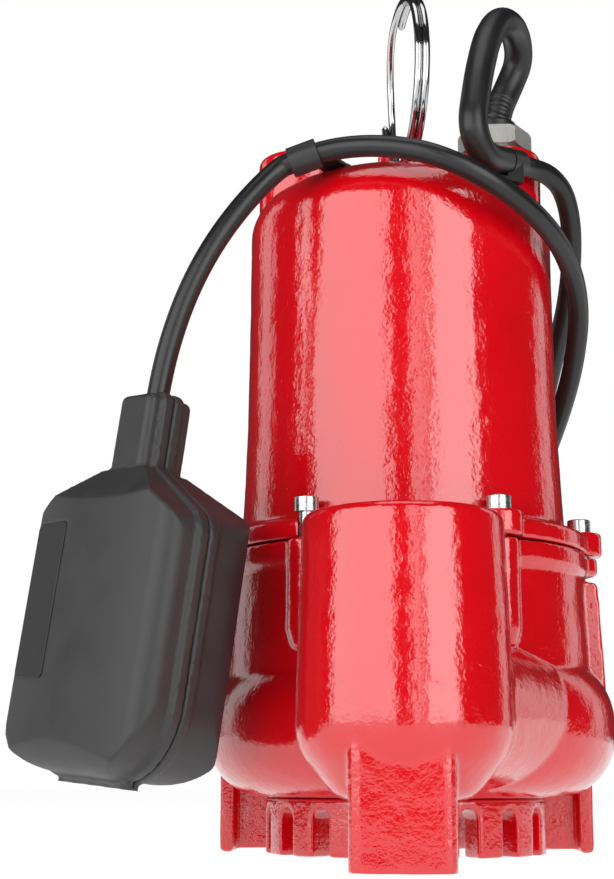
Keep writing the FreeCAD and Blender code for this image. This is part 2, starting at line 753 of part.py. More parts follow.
def build_motor():
    computed("stator_core", make_stator_core())
    computed("stator_windings", make_windings())
    wide = "dims.bearing_wide"
    turned("shaft", [
        ("0", "dims.shaft_low"), ("dims.thread_rad", "dims.shaft_low"),
        ("dims.thread_rad", "dims.thread_top"), ("dims.shaft_rad", "dims.thread_top"),
        ("dims.shaft_rad", "dims.low_bearing + " + wide), ("dims.shaft_rad + 2", "141"),
        ("dims.shaft_rad + 2", "dims.high_bearing - 2"), ("dims.shaft_rad", "dims.high_bearing - 2"),
        ("dims.shaft_rad", "dims.shaft_top - 1"), ("dims.shaft_rad - 1", "dims.shaft_top"),
        ("0", "dims.shaft_top"),
    ])
    turned("rotor_core", [
        ("dims.shaft_rad + 2.05", "dims.rotor_low"), ("dims.rotor_rad", "dims.rotor_low"),
        ("dims.rotor_rad", "dims.rotor_top"), ("dims.shaft_rad + 2.05", "dims.rotor_top"),
    ])
    computed("rotor_end_rings", Part.makeCompound([
        lathe([(18, 157), (30, 157, 2), (30, 163), (18, 163)]),
        lathe([(18, 227), (30, 227), (30, 233, 2), (18, 233)]),
    ]))
    inner = size("shaft_rad") + 0.05
    outer = size("bearing_rad")
    for name, word in (("lower", "low_bearing"), ("upper", "high_bearing")):
        low = size(word)
        computed(name + "_bearing_inner", make_race(low, inner, 11.9))
        computed(name + "_bearing_outer", make_race(low, 16.6, outer))
        computed(name + "_bearing_balls", make_balls(low))
        computed(name + "_bearing_cage", make_cage(low))
    turned("preload_washer", [("15.5", "274.1"), ("19.6", "274.1"), ("19.6", "275.9"), ("15.5", "275.9")])
    computed("capacitor", make_capacitor())
    computed("thermal_protector", block(-50, -34, 12, 30, 243.4, 251.4))
    computed("lead_wires", make_leads())


def make_capacitor():
    """Run capacitor lying across the front above the windings."""
    can = Part.makeCylinder(11, 40, V(-20, -43, 258), V(1, 0, 0))
    lugs = [block(20, 24, -47 + 8 * k, -45 + 8 * k, 256, 260) for k in (0, 1)]
    return can.multiFuse(lugs)


def make_leads():
    """Three conductors from the cord inlet down to the windings."""
    wires = []
    for index, shift in enumerate((-2.6, 0, 2.6)):
        x = size("gland_side") + shift
        y = size("boss_back")
        points = [V(x, y, 302), V(x, y, 280), V(x - 4, y + 2 * shift, 262), V(x - 6, y + 3 * shift, 243.4)]
        path = Part.Wire(rounded_edges(points, [0, 12, 12, 0], False))
        wires.append(tube(path, 1.1))
    return Part.makeCompound(wires)


def build_seal():
    turned("seal_seat", [
        ("9.6", "dims.seal_low"), ("dims.seal_rad", "dims.seal_low"),
        ("dims.seal_rad", "dims.seal_top"), ("9.6", "dims.seal_top"),
    ])
    turned("seal_face", [
        ("dims.shaft_rad + 0.1", "dims.seal_top + 0.05"), ("13.5", "dims.seal_top + 0.05"),
        ("13.5", "dims.seal_top + 6"), ("dims.shaft_rad + 0.1", "dims.seal_top + 6"),
    ])
    turned("seal_cup", [
        ("dims.shaft_rad + 0.05", "106"), ("15", "106"), ("15", "101"), ("14", "101"),
        ("14", "104.5"), ("dims.shaft_rad + 0.05", "104.5"),
    ])
    coil = Part.makeHelix(3.6, 12.6, 11.5)
    start = coil.Edges[0].valueAt(coil.Edges[0].FirstParameter)
    way = coil.Edges[0].tangentAt(coil.Edges[0].FirstParameter)
    ring = Part.Wire(Part.makeCircle(0.8, start, way))
    spring = Part.Wire(coil).makePipeShell([ring], True, True)
    spring.translate(V(0, 0, 90.95))
    computed("seal_spring", spring)


def build_impeller():
    computed("impeller", make_impeller())
    thread = size("thread_rad")
    nut = hexagon(15, 36, 44, 0, 0).cut(rod(thread + 0.05, 30, 50))
    computed("impeller_nut", nut)
    turned("impeller_washer", [
        ("dims.thread_rad + 0.05", "44.1"), ("12", "44.1"), ("12", "45"), ("dims.thread_rad + 0.05", "45"),
    ])


def build_top():
    computed("gland_body", make_gland_body())
    computed("gland_nut", make_gland_nut())
    computed("gland_collar", make_gland_collar())
    computed("oil_fill_plug", make_oil_plug())
    ring = computed("handle_ring", make_handle_ring())
    turn = FreeCAD.Rotation(V(0, 0, 1), 11.5) * FreeCAD.Rotation(V(0, 1, 0), 90)
    high = size("ring_low") + size("ring_rad")
    ring.Placement = FreeCAD.Placement(V(size("ring_side"), size("ring_back"), high), turn)


def build_cords():
    power = cord_wire("power cord", SLEEVED + BARE)
    rad = size("cord_rad")
    computed("power_cord", tube(power, rad))
    wire = cord_wire("bend sleeve", SLEEVED + BARE[:1])
    path = Part.Wire(wire.Edges[:-1])
    outer = tube(path, size("sleeve_rad"))
    inner = tube(path, size("sleeve_bore"))
    way = (BARE[0] - SLEEVED[-1]).normalize()
    mouth = CLIP_RIGHT - way * (CLIP_RIGHT_LONG / 2 + 0.3)
    beyond = rod_between(12, mouth, mouth + way * 30)
    clearance = tube(path, size("sleeve_rad") + 0.3).cut(beyond)
    computed("cord_bend_sleeve", outer.cut([inner, beyond]))
    computed("float_cord_run", tube(cord_wire("float cord run", RUN), rad - 0.1))
    level = size("coil_high") + 0.2
    computed("float_cord_coil", make_coil(0))
    computed("power_cord_coil", make_coil(level))
    computed("power_cord_tail", tube(cord_wire("power tail", POWER_TAIL), rad))
    computed("float_cord_tail", tube(cord_wire("float tail", FLOAT_TAIL), rad - 0.1))
    tail = FLOAT_TAIL[-1]
    low_place = V(tail.x + 12.5 * math.cos(FLOAT_PLUG_TURN), tail.y + 12.5 * math.sin(FLOAT_PLUG_TURN), 0.2)
    turn = math.degrees(FLOAT_PLUG_TURN)
    computed("float_plug_body", make_plug(low_place, turn, True))
    computed("float_plug_blades", make_blades(low_place, turn))
    high_place = V(-56, 178, level + size("coil_high"))
    computed("power_plug_body", make_plug(high_place, -90, False))
    computed("power_plug_blades", make_blades(high_place, -90))
    left = V(-24.5, -36.5, 0)
    right = V(29, -33, 0)
    computed("cord_clip_left", make_clip(V(-39.8, -65.2, 288.5), V(0.93, -0.11, 0.3), left, 12.5))
    clip = make_clip(CLIP_RIGHT, way, right, CLIP_RIGHT_LONG)
    computed("cord_clip_right", clip.cut(clearance))
    computed("clip_screws", Part.makeCompound([clip_screw(left), clip_screw(right)]))


def build_float():
    place = float_placement()
    path = cord_wire("float tether", TETHER)
    computed("float_cord_tether", tube(path, size("cord_rad") - 0.1))
    pieces = {
        "float_front_shell": make_float_shell(-1),
        "float_back_shell": make_float_shell(1),
        "float_grommet": rod(size("grommet_rad"), 66, size("float_neck") - 0.5).cut(
            rod(size("grommet_bore"), 60, 95)
        ),
        "float_ball_track": rod(10, -52, -1).cut(rod(8.4, -50, 0)),
        "float_ball": Part.makeSphere(8, V(0, 0, -41.8)),
        "float_microswitch": block(-14, 14, -5, 5, 8, 24).multiFuse([
            block(-1.6, 1.6, -5, -3.6, 1, 9), block(-1.6, 1.6, 3.6, 5, 1, 9),
        ]),
        "float_switch_lever": block(-10.5, 10.5, -3.3, 3.3, 2.4, 3.6).fuse(
            Part.makeCylinder(1.3, 6.6, V(0, -3.3, 3), V(0, 1, 0))
        ),
    }
    for label, shape in pieces.items():
        part = computed(label, shape)
        part.Placement = place


def export():
    """Write each sub-part to its own file once the whole model is sound."""
    DOC.recompute()
    os.makedirs("parts", exist_ok=True)
    for item in DOC.Objects:
        if "Invalid" in item.State or "Error" in item.State:
            raise RuntimeError("unsound feature " + item.Label)
    for item in DOC.Objects:
        inside = item.getParentGeoFeatureGroup()
        if item.TypeId not in ("Part::Feature", "PartDesign::Body") or inside:
            continue
        if item.Shape.isNull() or not item.Shape.isValid():
            raise RuntimeError("unsound shape " + item.Label)
        item.Shape.exportStep("parts/" + item.Label + ".step")
        print(item.Label, len(item.Shape.Solids), round(item.Shape.Volume / 1000, 1))


fill_sheet()
build_castings()
build_motor()
build_seal()
build_impeller()
build_top()
build_cords()
build_float()
export()
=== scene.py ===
import json
import math

import bmesh
import bpy
from mathutils import Matrix, Vector, noise

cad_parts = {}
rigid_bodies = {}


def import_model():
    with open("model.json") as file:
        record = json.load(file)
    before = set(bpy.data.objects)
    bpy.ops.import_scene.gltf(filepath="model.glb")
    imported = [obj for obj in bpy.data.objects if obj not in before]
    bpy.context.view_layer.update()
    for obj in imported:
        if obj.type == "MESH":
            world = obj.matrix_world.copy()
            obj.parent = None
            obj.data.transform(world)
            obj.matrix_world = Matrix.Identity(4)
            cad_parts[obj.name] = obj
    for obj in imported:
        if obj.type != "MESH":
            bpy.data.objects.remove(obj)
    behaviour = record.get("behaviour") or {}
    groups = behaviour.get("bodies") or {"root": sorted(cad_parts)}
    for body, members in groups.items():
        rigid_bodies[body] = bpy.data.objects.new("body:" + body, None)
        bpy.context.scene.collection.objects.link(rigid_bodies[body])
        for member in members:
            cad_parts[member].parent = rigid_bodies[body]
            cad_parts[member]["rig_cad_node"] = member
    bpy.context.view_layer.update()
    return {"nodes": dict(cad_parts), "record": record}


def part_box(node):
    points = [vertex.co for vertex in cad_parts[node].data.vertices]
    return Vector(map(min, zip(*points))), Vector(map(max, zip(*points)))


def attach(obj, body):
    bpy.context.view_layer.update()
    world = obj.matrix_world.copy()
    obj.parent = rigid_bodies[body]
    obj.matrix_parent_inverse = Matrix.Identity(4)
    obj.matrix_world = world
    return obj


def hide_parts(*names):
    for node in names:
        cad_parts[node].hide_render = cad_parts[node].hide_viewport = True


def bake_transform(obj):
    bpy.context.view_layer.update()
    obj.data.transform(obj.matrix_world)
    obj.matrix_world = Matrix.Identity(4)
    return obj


MM = 0.001
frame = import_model()
nodes = frame["nodes"]
scene = bpy.context.scene


def mm(points):
    """Row-frame points given in millimetres, as vectors in metres."""
    return [Vector(point) * MM for point in points]


# ---------------------------------------------------------------- camera ----

SHOT_DISTANCE = 0.720
SHOT_HEIGHT = 0.0312
SHOT_PITCH = 0.2045
SHOT_YAW = 0.0587
SHOT_ROLL = 0.002
LENS = 67.45
SENSOR_WIDTH = 36


def make_camera():
    """A camera low in front of the object, looking up at it. Angles are in radians."""
    data = bpy.data.cameras.new("shot")
    camera = bpy.data.objects.new("shot", data)
    scene.collection.objects.link(camera)
    camera.location = (0, -SHOT_DISTANCE, SHOT_HEIGHT)
    forward = Vector((
        -math.sin(SHOT_YAW) * math.cos(SHOT_PITCH),
        math.cos(SHOT_YAW) * math.cos(SHOT_PITCH),
        math.sin(SHOT_PITCH),
    ))
    turn = forward.to_track_quat("-Z", "Y").to_matrix().to_4x4()
    turn = turn @ Matrix.Rotation(SHOT_ROLL, 4, "Z")
    camera.rotation_euler = turn.to_euler()
    data.lens = LENS
    data.sensor_width = SENSOR_WIDTH
    data.clip_start = 0.01
    scene.camera = camera


make_camera()

# ----------------------------------------------------------- node helpers ----


def new_material(name):
    """A material, its node tree and its main shader."""
    material = bpy.data.materials.new(name)
    material.use_nodes = True
    tree = material.node_tree
    shader = tree.nodes["Principled BSDF"]
    return material, tree, shader


def add(tree, kind, inputs=None, **settings):
    """A node with its settings and input values."""
    node = tree.nodes.new(kind)
    for word, value in settings.items():
        setattr(node, word, value)
    for word, value in (inputs or {}).items():
        node.inputs[word].default_value = value
    return node


def join(tree, start, end):
    tree.links.new(start, end)


def object_coordinates(tree):
    return add(tree, "ShaderNodeTexCoord").outputs["Object"]


def noise_texture(tree, where, scale, detail, rough, distortion=0.0):
    """Soft noise, scale in lumps a metre."""
    texture = add(tree, "ShaderNodeTexNoise", {
        "Scale": scale, "Detail": detail, "Roughness": rough, "Distortion": distortion,
    })
    join(tree, where, texture.inputs["Vector"])
    return texture.outputs["Fac"]


def mapped(tree, value, low, high, to_low, to_high):
    """A value moved from one range to another."""
    node = add(tree, "ShaderNodeMapRange", {
        "From Min": low, "From Max": high, "To Min": to_low, "To Max": to_high,
    })
    join(tree, value, node.inputs["Value"])
    return node.outputs["Result"]


def ramp(tree, value, stops):
    """A colour that changes with a value, from (place, colour) stops."""
    node = add(tree, "ShaderNodeValToRGB")
    band = node.color_ramp
    while len(band.elements) < len(stops):
        band.elements.new(0.5)
    for element, (place, colour) in zip(band.elements, stops):
        element.position = place
        element.color = (*colour, 1)
    join(tree, value, node.inputs["Fac"])
    return node.outputs["Color"]


def bump(tree, height, strength, distance, before=None):
    """Fine relief from a height, laid over an earlier relief if there is one."""
    node = add(tree, "ShaderNodeBump", {"Strength": strength, "Distance": distance})
    join(tree, height, node.inputs["Height"])
    if before is not None:
        join(tree, before, node.inputs["Normal"])
    return node.outputs["Normal"]


# -------------------------------------------------------------- materials ----


def red_enamel():
    """Glossy red enamel over a sand casting: broad waves, lumps and fine orange peel."""
    material, tree, shader = new_material("red_enamel")
    where = object_coordinates(tree)
    broad = noise_texture(tree, where, 22, 2, 0.5)
    lumps = noise_texture(tree, where, 150, 2, 0.5, 0.2)
    peel = noise_texture(tree, where, 640, 2, 0.55)
    grit = noise_texture(tree, where, 1500, 1, 0.5)
    tint = ramp(tree, broad, [(0.3, (0.58, 0.0008, 0.0050)), (0.7, (0.64, 0.0014, 0.0070))])
    join(tree, tint, shader.inputs["Base Color"])
    join(tree, mapped(tree, lumps, 0.3, 0.7, 0.09, 0.15), shader.inputs["Roughness"])
    surface = bump(tree, lumps, 0.25, 0.0007)
    surface = bump(tree, peel, 0.5, 0.00024, surface)
    surface = bump(tree, grit, 0.08, 0.0001, surface)
    join(tree, surface, shader.inputs["Normal"])
    shader.inputs["IOR"].default_value = 1.7
    shader.inputs["Coat Weight"].default_value = 0.5
    shader.inputs["Coat Roughness"].default_value = 0.04
    join(tree, surface, shader.inputs["Coat Normal"])
    return material


def metal(name, colour, rough_low, rough_high, scale=600, grain=0.15):
    """Bare or plated metal with fine uneven wear."""
    material, tree, shader = new_material(name)
    where = object_coordinates(tree)
    wear = noise_texture(tree, where, scale, 4, 0.6)
    broad = noise_texture(tree, where, scale / 12, 2, 0.5)
    dark = [channel * 0.8 for channel in colour]
    join(tree, ramp(tree, broad, [(0.3, dark), (0.7, colour)]), shader.inputs["Base Color"])
    join(tree, mapped(tree, wear, 0.3, 0.7, rough_low, rough_high), shader.inputs["Roughness"])
    shader.inputs["Metallic"].default_value = 1
    join(tree, bump(tree, wear, grain, 0.0002), shader.inputs["Normal"])
    return material


def rubber(name, colour, rough, scale=900, grain=0.2):
    """Black jacket, rubber or moulded plastic with a fine matt grain."""
    material, tree, shader = new_material(name)
    where = object_coordinates(tree)
    fine = noise_texture(tree, where, scale, 2, 0.5)
    broad = noise_texture(tree, where, scale / 20, 3, 0.5)
    pale = [channel * 1.25 + 0.002 for channel in colour]
    join(tree, ramp(tree, broad, [(0.3, colour), (0.75, pale)]), shader.inputs["Base Color"])
    low, high = rough
    join(tree, mapped(tree, broad, 0.3, 0.7, low, high), shader.inputs["Roughness"])
    join(tree, bump(tree, fine, grain, 0.00015), shader.inputs["Normal"])
    return material


def striped(name, colour, dark, scale, rough):
    """Laminated steel or wound wire: fine bands along Z."""
    material, tree, shader = new_material(name)
    where = object_coordinates(tree)
    wave = add(tree, "ShaderNodeTexWave", {"Scale": scale, "Distortion": 0.6, "Detail": 2.0},
               bands_direction="Z")
    join(tree, where, wave.inputs["Vector"])
    join(tree, ramp(tree, wave.outputs["Fac"], [(0.2, dark), (0.8, colour)]),
         shader.inputs["Base Color"])
    shader.inputs["Metallic"].default_value = 0.7
    shader.inputs["Roughness"].default_value = rough
    join(tree, bump(tree, wave.outputs["Fac"], 0.4, 0.0002), shader.inputs["Normal"])
    return material


MATERIALS = {
    "red_enamel": red_enamel(),
    "steel": metal("steel", (0.62, 0.62, 0.63), 0.18, 0.34),
    "polished_steel": metal("polished_steel", (0.66, 0.66, 0.67), 0.06, 0.14, 300, 0.04),
    "plated_nut": metal("plated_nut", (0.50, 0.49, 0.47), 0.28, 0.45, 1100, 0.5),
    "grey_iron": metal("grey_iron", (0.20, 0.20, 0.21), 0.4, 0.6, 400, 0.5),
    "lamination": striped("lamination", (0.34, 0.34, 0.36), (0.12, 0.12, 0.13), 320, 0.4),
    "copper": striped("copper", (0.72, 0.30, 0.12), (0.30, 0.10, 0.04), 260, 0.35),
    "aluminium": metal("aluminium", (0.75, 0.75, 0.76), 0.3, 0.45),
    "black_rubber": rubber("black_rubber", (0.007, 0.007, 0.007), (0.34, 0.44)),
    "cord_jacket": rubber("cord_jacket", (0.006, 0.006, 0.006), (0.28, 0.38)),
    "float_plastic": rubber("float_plastic", (0.024, 0.023, 0.024), (0.44, 0.54), 1400, 0.35),
    "label_plastic": rubber("label_plastic", (0.006, 0.006, 0.0066), (0.46, 0.56), 700, 0.15),
    "black_plastic": rubber("black_plastic", (0.014, 0.014, 0.014), (0.36, 0.46)),
    "gasket": rubber("gasket", (0.030, 0.012, 0.010), (0.7, 0.8)),
    "ceramic": rubber("ceramic", (0.75, 0.74, 0.70), (0.10, 0.16)),
    "carbon": rubber("carbon", (0.02, 0.02, 0.021), (0.3, 0.4)),
    "brass": metal("brass", (0.75, 0.55, 0.22), 0.2, 0.35),
    "pale_plastic": rubber("pale_plastic", (0.62, 0.60, 0.56), (0.3, 0.4)),
}


def dress(thing, name):
    """Give a piece one of the finishes."""
    thing.data.materials.clear()
    thing.data.materials.append(MATERIALS[name])


for row in frame["record"]["subparts"]:
    dress(nodes[row["node"]], row["material_slot"])


# ------------------------------------------------------------------ cords ----

POWER_CORD_WIDTH = 9.4 * MM
FLOAT_CORD_WIDTH = 9.2 * MM
COIL_CENTRE = Vector((0, 170, 0)) * MM
COIL_COLUMNS = {"in": 51.6 * MM, "out": 61.1 * MM}
COIL_PITCH = 9.5 * MM
COIL_STEP = 22.5
COIL_FIRST = 15
POWER_COIL_BASE = 43.4 * MM
POWER_COIL_LEAVE = 97
FLOAT_COIL_BASE = 4.7 * MM
FLOAT_COIL_LEAVE = 90

POWER_ROUTE = mm([
    (45.3, 20, 333), (47.6, 22.5, 345.5), (53.2, 26, 358.5), (58.6, 23, 371),
    (55.5, 9, 380), (47.5, -9, 377), (40.5, -26, 360.5), (36, -39, 339),
    (33.5, -45.5, 323), (31.7, -50, 310), (33.6, -46.6, 301.7), (37.6, -39.4, 297.6),
    (46, -24, 301.5), (58.4, -4.5, 306), (69.5, 3.5, 305), (77.5, 14, 299), (81.5, 27, 282),
    (80, 42, 256), (73.5, 59, 230), (67, 76, 202), (66, 92, 170), (70, 106, 138),
    (75, 121, 105), (77, 136, 77), (73, 150, 57), (66.5, 163, 46.5),
])
POWER_TAIL = mm([(-36, 218.5, 76), (-55, 206, 87.5), (-56, 190.5, 89.1)])
FLOAT_ROUTE = mm([
    (-100, -75.8, 172), (-98, -75.4, 187), (-94, -75.6, 206), (-87, -75.3, 227.5),
    (-77, -74.5, 248), (-64.5, -70.5, 267.5), (-51, -64, 284.5), (-45.8, -64.5, 286.6),
    (-29, -66.5, 292), (-7, -73.5, 290.5), (16, -79, 284), (40.5, -73, 272.5),
    (59.5, -53, 264.5), (73.5, -26, 255.5), (81, 1, 241), (79.5, 18, 219.5),
    (74.5, 36, 200), (66, 57, 178), (63, 76, 153), (68, 92, 124), (76, 107, 93),
    (82, 119, 64), (81.5, 132, 38), (75.5, 148, 17), (66.5, 161, 6.5),
])
FLOAT_TAIL = mm([(-23, 212, 8.5), (-25, 197, 11.5), (-19.5, 188.5, 12.2)])

POWER_CELLS = [("out", 0), ("in", 0), ("in", 1), ("out", 1), ("out", 2), ("in", 2), ("in", 3),
               ("out", 3)]
FLOAT_CELLS = [("out", 0), ("out", 1), ("out", 2), ("out", 3), ("in", 3), ("in", 2), ("in", 1),
               ("in", 0)]


def coil_points(cells, base, first, leave, slip=280, span=40, back=45):
    """Turns of a neat coil, in a stack of cells, each a column and a height in pitches.

    Angles are in degrees: the coil begins at first, and ends at leave after its last cell.
    A turn slips to the next cell over span degrees, back degrees earlier each time round.
    """
    points = []
    last = (len(cells) - 2) * (360 - back) + slip
    angle = first
    end = 360 * math.ceil((last + span - leave) / 360) + leave
    while angle <= end:
        radius = COIL_COLUMNS[cells[0][0]]
        height = cells[0][1]
        for index in range(len(cells) - 1):
            begin = slip + index * (360 - back)
            share = min(max((angle - begin) / span, 0), 1)
            share = share * share * (3 - 2 * share)
            radius += share * (COIL_COLUMNS[cells[index + 1][0]] - COIL_COLUMNS[cells[index][0]])
            height += share * (cells[index + 1][1] - cells[index][1])
        turn = math.radians(angle)
        points.append(COIL_CENTRE + Vector((
            radius * math.cos(turn), radius * math.sin(turn), base + height * COIL_PITCH,
        )))
        angle += COIL_STEP
    return points


def cord_curve(name, points, diameter=0.0, resolution=6):
    """A smooth line with the route's points as its control points."""
    data = bpy.data.curves.new(name, "CURVE")
    data.dimensions = "3D"
    spline = data.splines.new("NURBS")
    spline.points.add(len(points) - 1)
    for knot, point in zip(spline.points, points):
        knot.co = (*point, 1)
    spline.order_u = 3
    spline.use_endpoint_u = True
    spline.resolution_u = resolution
    data.resolution_u = resolution
    data.bevel_depth = diameter / 2
    data.bevel_resolution = 6
    data.use_fill_caps = True
    curve = bpy.data.objects.new(name, data)
    scene.collection.objects.link(curve)
    return curve


def centreline(points, resolution=6):
    """Points along the smooth line that a route's control points give."""
    bare = cord_curve("bare_line", points, 0, resolution)
    bpy.context.view_layer.update()
    line = bpy.data.meshes.new_from_object(
        bare.evaluated_get(bpy.context.evaluated_depsgraph_get())
    )
    path = [vertex.co.copy() for vertex in line.vertices]
    bpy.data.objects.remove(bare)
    bpy.data.meshes.remove(line)
    return path


def path_length(path):
    return sum((b - a).length for a, b in zip(path, path[1:]))


def tube_mesh(name, path, radius_at, sides=20, caps=True):
    """A round tube along a path, its radius given at each distance, with no twist."""
    mesh = bmesh.new()
    normal = (path[1] - path[0]).orthogonal().normalized()
    rings = []
    done = 0.0
    for index, point in enumerate(path):
        if index:
            done += (point - path[index - 1]).length
        before = path[max(index - 1, 0)]
        after = path[min(index + 1, len(path) - 1)]
        way = (after - before).normalized()
        normal = (normal - way * normal.dot(way)).normalized()
        side = way.cross(normal)
        radius = radius_at(done)
        rings.append([
            mesh.verts.new(point + (normal * math.cos(k * math.tau / sides)
                                    + side * math.sin(k * math.tau / sides)) * radius)
            for k in range(sides)
        ])
    for first, second in zip(rings, rings[1:]):
        for k in range(sides):
            after = (k + 1) % sides
            mesh.faces.new((first[k], first[after], second[after], second[k]))
    if caps:
        mesh.faces.new(list(reversed(rings[0])))
        mesh.faces.new(rings[-1])
    return finish_mesh(name, mesh)


def finish_mesh(name, mesh, smooth_angle=40):
    """Turn a bmesh into a smooth-shaded object with sharp edges kept."""
    bmesh.ops.recalc_face_normals(mesh, faces=mesh.faces)
    data = bpy.data.meshes.new(name)
    mesh.to_mesh(data)
    mesh.free()
    for polygon in data.polygons:
        polygon.use_smooth = True
    data.set_sharp_from_angle(angle=math.radians(smooth_angle))
    thing = bpy.data.objects.new(name, data)
    scene.collection.objects.link(thing)
    return thing


power_coil = coil_points(POWER_CELLS, POWER_COIL_BASE, COIL_FIRST, POWER_COIL_LEAVE)
power_cord = cord_curve("power_cord_line", POWER_ROUTE + power_coil + POWER_TAIL,
                        POWER_CORD_WIDTH)
dress(power_cord, "cord_jacket")
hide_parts("power_cord", "power_cord_coil", "power_cord_tail")
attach(power_cord, "pump")

float_coil = coil_points(FLOAT_CELLS, FLOAT_COIL_BASE, COIL_FIRST, FLOAT_COIL_LEAVE)
float_path = centreline(FLOAT_ROUTE + float_coil + FLOAT_TAIL)
float_cord = tube_mesh("float_cord_line", float_path, lambda done: FLOAT_CORD_WIDTH / 2)
dress(float_cord, "cord_jacket")
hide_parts("float_cord_tether", "float_cord_run", "float_cord_coil",
            "float_cord_tail")
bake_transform(float_cord)

SLEEVE_BASE = 6.9 * MM
SLEEVE_END = 6.2 * MM
SLEEVE_EDGE = 1.2 * MM
SLEEVE_END_ROUND = 0.5 * MM
SLEEVE_STEP = 0.5 * MM
RIB_DEPTH = 0.45 * MM
RIB_PITCH = 2.4 * MM
RIBBED_LENGTH = 17 * MM
CLIP_MOUTH = Vector((46.8, -22.7, 301.8)) * MM
CLIP_WAY = Vector((0.528, 0.83, 0.19))
CLIP_NEAR = 15 * MM


def make_sleeve(path):
    """Tapered strain relief round the cord from the gland to the clip, ribbed at its foot."""
    kept = []
    for before, point in zip(path, path[1:]):
        kept.append(before)
        past = point - CLIP_MOUTH
        if past.length < CLIP_NEAR and past.dot(CLIP_WAY) > 0:
            break
    dense = []
    for before, point in zip(kept, kept[1:]):
        steps = max(1, int((point - before).length / SLEEVE_STEP))
        dense += [before.lerp(point, k / steps) for k in range(steps)]
    dense.append(kept[-1])
    whole = path_length(dense)

    def radius_at(done):
        radius = SLEEVE_BASE + (SLEEVE_END - SLEEVE_BASE) * done / whole
        if done < RIBBED_LENGTH:
            radius -= RIB_DEPTH * (0.5 + 0.5 * math.cos(done / RIB_PITCH * math.tau))
        edge = min(whole - done, SLEEVE_EDGE) / SLEEVE_EDGE
        return radius - SLEEVE_END_ROUND * (1 - math.sqrt(max(0.0, 1 - (1 - edge) ** 2)))

    sleeve = tube_mesh("cord_strain_relief", dense, radius_at, 28)
    dress(sleeve, "black_rubber")
    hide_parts("cord_bend_sleeve")
    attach(sleeve, "pump")
    return sleeve


strain_relief = make_sleeve(centreline(POWER_ROUTE, 24))

# --------------------------------------------------------------- castings ----


def modified(thing, kind, **settings):
    """Apply one modifier to an object's mesh."""
    modifier = thing.modifiers.new(kind, kind)
    for word, value in settings.items():
        setattr(modifier, word, value)
    bpy.context.view_layer.update()
    mesh = bpy.data.meshes.new_from_object(
        thing.evaluated_get(bpy.context.evaluated_depsgraph_get())
    )
    thing.modifiers.clear()
    old = thing.data
    thing.data = mesh
    bpy.data.meshes.remove(old)


def moulded_copy(name, node, voxel, rounds, lumps):
    """A CAD node as it comes out of its mould: rounded edges and an uneven skin.

    rounds is how many times the skin is smoothed, and lumps holds (size, height) pairs in
    metres. The skin stays inside the node's own box.
    """
    thing = bpy.data.objects.new(name, nodes[node].data.copy())
    scene.collection.objects.link(thing)
    modified(thing, "REMESH", mode="VOXEL", voxel_size=voxel)
    modified(thing, "SMOOTH", factor=0.5, iterations=rounds)
    mesh = thing.data
    moves = []
    for vertex in mesh.vertices:
        rise = sum(noise.noise(vertex.co / span) * height for span, height in lumps)
        moves.append(vertex.co + vertex.normal * rise)
    low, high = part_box(node)
    for vertex, place in zip(mesh.vertices, moves):
        vertex.co = [min(max(value, least), most)
                     for value, least, most in zip(place, low, high)]
    for polygon in mesh.polygons:
        polygon.use_smooth = True
    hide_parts(node)
    return thing


SAND = [(14 * MM, 0.15 * MM), (5 * MM, 0.07 * MM), (2.4 * MM, 0.03 * MM)]
CASTING_VOXEL = 1.0 * MM
for cast_name, cast_node, cast_rounds in (
        ("volute_skin", "volute_casing", 10), ("housing_skin", "motor_housing", 7),
        ("strainer_skin", "suction_strainer", 5)):
    casting = moulded_copy(cast_name, cast_node, CASTING_VOXEL, cast_rounds, SAND)
    dress(casting, "red_enamel")
    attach(casting, "pump")

# ------------------------------------------------------------ float switch ----

FLOAT_AXIS = Vector((0.131, 0.03, 0.991)).normalized()
FLOAT_ACROSS = Vector((0.731, -0.682, 0))
FLOAT_ACROSS = (FLOAT_ACROSS - FLOAT_AXIS * FLOAT_ACROSS.dot(FLOAT_AXIS)).normalized()
FLOAT_DEPTH = FLOAT_AXIS.cross(FLOAT_ACROSS)
FLOAT_CENTRE = Vector((-98.0, -75.4, 186)) * MM - FLOAT_AXIS * 89 * MM
FLOAT_VOXEL = 0.8 * MM
FLOAT_SKIN = [(30 * MM, 0.12 * MM)]

# The label panel, in millimetres in the float's own frame.
PANEL_MIDDLE = (-27.5, -20.4, -0.5)
PANEL_LEAN = math.radians(-8.8)
PANEL_SIZE = (24.2, 62.2, 0.7)
PANEL_CORNER = 2.5
PANEL_BEVEL = 0.25


def in_float(x, y, z):
    """A point of the float's own frame, in millimetres, in the object's frame."""
    return FLOAT_CENTRE + (FLOAT_ACROSS * x + FLOAT_DEPTH * y + FLOAT_AXIS * z) * MM


def rounded_plate(name, wide, high, thick, corner, bevel, place):
    """A thin plate with rounded corners and a bevelled rim; place maps x, y, z to space."""
    mesh = bmesh.new()
    outline = []
    for turn, (cx, cz) in enumerate(((1, 1), (-1, 1), (-1, -1), (1, -1))):
        for k in range(7):
            angle = math.radians(90 * turn + 15 * k)
            outline.append((
                cx * (wide / 2 - corner) + corner * math.cos(angle),
                cz * (high / 2 - corner) + corner * math.sin(angle),
            ))
    layers = [(0, 0), (0, thick - bevel), (bevel, thick)]
    rings = []
    for inward, rise in layers:
        shrink_x = 1 - 2 * inward / wide
        shrink_z = 1 - 2 * inward / high
        rings.append([
            mesh.verts.new(place(x * shrink_x, -rise, z * shrink_z)) for x, z in outline
        ])
    for first, second in zip(rings, rings[1:]):
        for k in range(len(outline)):
            after = (k + 1) % len(outline)
            mesh.faces.new((first[k], first[after], second[after], second[k]))
    mesh.faces.new(list(reversed(rings[0])))
    mesh.faces.new(rings[-1])
    return finish_mesh(name, mesh, 30)


